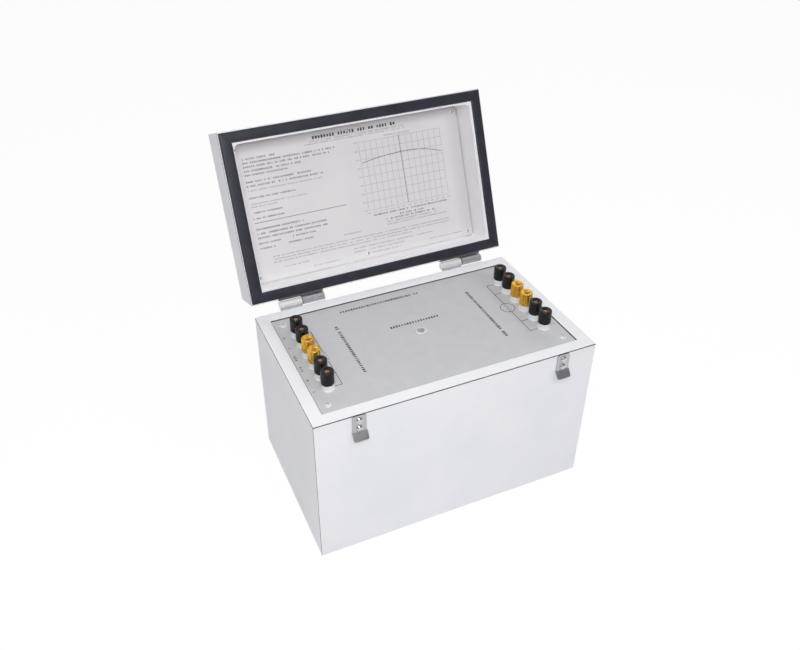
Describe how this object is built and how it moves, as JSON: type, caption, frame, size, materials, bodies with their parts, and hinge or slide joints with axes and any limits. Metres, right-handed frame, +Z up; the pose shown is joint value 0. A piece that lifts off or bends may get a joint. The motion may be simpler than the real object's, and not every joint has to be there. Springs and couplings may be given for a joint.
{
  "type": "standard resistor",
  "caption": "Laboratory standard resistor in a hinged white case, with two rows of binding posts and a thermometer well on its top panel.",
  "frame": {"origin": "centre of the case's base, on the bench", "axes": "+X right, -Y towards the front with the keepers, +Z up"},
  "size_m": [0.318, 0.3312, 0.3735],
  "materials": {
    "plywood": "birch plywood under the laminate",
    "pine": "planed softwood",
    "white_laminate": "satin white laminate with a dark core",
    "white_lining": "smooth white moulded sheet",
    "panel_grey": "light grey satin enamel",
    "zinc_plate": "bright zinc-plated sheet steel",
    "bright_nickel": "polished nickel plate",
    "pale_screws": "pale satin paint",
    "gold_plate": "polished gold plate over copper alloy",
    "black_moulding": "glossy black moulding",
    "white_insulator": "milky white insulator",
    "brass": "machined brass",
    "well_metal": "satin turned metal",
    "foam": "rigid insulating foam",
    "can_metal": "tinned steel sheet",
    "bobbin_plastic": "cream bobbin",
    "resistance_wire": "enamelled resistance wire",
    "sensor_case": "encapsulated sensor",
    "nylon": "natural nylon",
    "black_rubber": "black satin closed-cell strip",
    "label_sheet": "printed off-white sheet"
  },
  "bodies": {
    "case": {"front_wall": "plywood", "back_wall": "plywood", "end_walls": "plywood", "base_board": "plywood", "front_laminate": "white_laminate", "back_laminate": "white_laminate", "end_laminates": "white_laminate", "rim_laminate": "white_laminate", "panel_supports": "pine", "top_panel": "panel_grey", "panel_screws": "pale_screws", "post_collars": "white_insulator", "post_studs": "gold_plate", "post_washers": "white_insulator", "post_nuts": "brass", "thermometer_well": "well_metal", "well_nut": "brass", "insulation_block": "foam", "sealed_can": "can_metal", "can_cover": "can_metal", "resistor_bobbin": "bobbin_plastic", "resistance_winding": "resistance_wire", "temperature_sensor": "sensor_case", "latch_keepers": "zinc_plate", "keeper_rivets": "bright_nickel", "case_hinge_leaves": "zinc_plate", "hinge_pins": "bright_nickel", "case_hinge_screws": "bright_nickel"},
    "hinge_washers": {"hinge_washers": "nylon"},
    "lid": {"lid_board": "plywood", "lid_long_rails": "plywood", "lid_end_rails": "plywood", "lid_top_laminate": "white_laminate", "lid_side_laminates": "white_laminate", "lid_rim_laminate": "white_laminate", "lid_liner": "white_lining", "gasket": "black_rubber", "label_plate": "label_sheet", "label_screws": "pale_screws", "lid_hinge_leaves": "zinc_plate", "lid_hinge_screws": "bright_nickel"},
    "left_post_cap_1": {"left_post_cap_1": "black_moulding"},
    "left_post_cap_2": {"left_post_cap_2": "black_moulding"},
    "left_post_cap_3": {"left_post_cap_3": "gold_plate"},
    "left_post_cap_4": {"left_post_cap_4": "gold_plate"},
    "left_post_cap_5": {"left_post_cap_5": "black_moulding"},
    "left_post_cap_6": {"left_post_cap_6": "black_moulding"},
    "right_post_cap_1": {"right_post_cap_1": "black_moulding"},
    "right_post_cap_2": {"right_post_cap_2": "black_moulding"},
    "right_post_cap_3": {"right_post_cap_3": "gold_plate"},
    "right_post_cap_4": {"right_post_cap_4": "gold_plate"},
    "right_post_cap_5": {"right_post_cap_5": "black_moulding"},
    "right_post_cap_6": {"right_post_cap_6": "black_moulding"}
  },
  "joints": [
    {"name": "lid_hinge", "type": "hinge", "parent": "case", "child": "hinge_washers", "pos_m": [0, 0.1036, 0.1887], "axis": [1, 0, 0], "range_deg": [0, 112.8]},
    {"name": "lid_lift_off", "type": "slide", "parent": "hinge_washers", "child": "lid", "axis": [-1, 0, 0], "range_m": [-0.026, 0]},
    {"name": "left_post_cap_1_screw_up", "type": "slide", "parent": "case", "child": "left_post_cap_1", "axis": [0, 0, 1], "range_m": [0, 0.005]},
    {"name": "left_post_cap_2_screw_up", "type": "slide", "parent": "case", "child": "left_post_cap_2", "axis": [0, 0, 1], "range_m": [0, 0.005]},
    {"name": "left_post_cap_3_screw_up", "type": "slide", "parent": "case", "child": "left_post_cap_3", "axis": [0, 0, 1], "range_m": [0, 0.005]},
    {"name": "left_post_cap_4_screw_up", "type": "slide", "parent": "case", "child": "left_post_cap_4", "axis": [0, 0, 1], "range_m": [0, 0.005]},
    {"name": "left_post_cap_5_screw_up", "type": "slide", "parent": "case", "child": "left_post_cap_5", "axis": [0, 0, 1], "range_m": [0, 0.005]},
    {"name": "left_post_cap_6_screw_up", "type": "slide", "parent": "case", "child": "left_post_cap_6", "axis": [0, 0, 1], "range_m": [0, 0.005]},
    {"name": "right_post_cap_1_screw_up", "type": "slide", "parent": "case", "child": "right_post_cap_1", "axis": [0, 0, 1], "range_m": [0, 0.005]},
    {"name": "right_post_cap_2_screw_up", "type": "slide", "parent": "case", "child": "right_post_cap_2", "axis": [0, 0, 1], "range_m": [0, 0.005]},
    {"name": "right_post_cap_3_screw_up", "type": "slide", "parent": "case", "child": "right_post_cap_3", "axis": [0, 0, 1], "range_m": [0, 0.005]},
    {"name": "right_post_cap_4_screw_up", "type": "slide", "parent": "case", "child": "right_post_cap_4", "axis": [0, 0, 1], "range_m": [0, 0.005]},
    {"name": "right_post_cap_5_screw_up", "type": "slide", "parent": "case", "child": "right_post_cap_5", "axis": [0, 0, 1], "range_m": [0, 0.005]},
    {"name": "right_post_cap_6_screw_up", "type": "slide", "parent": "case", "child": "right_post_cap_6", "axis": [0, 0, 1], "range_m": [0, 0.005]}
  ]
}
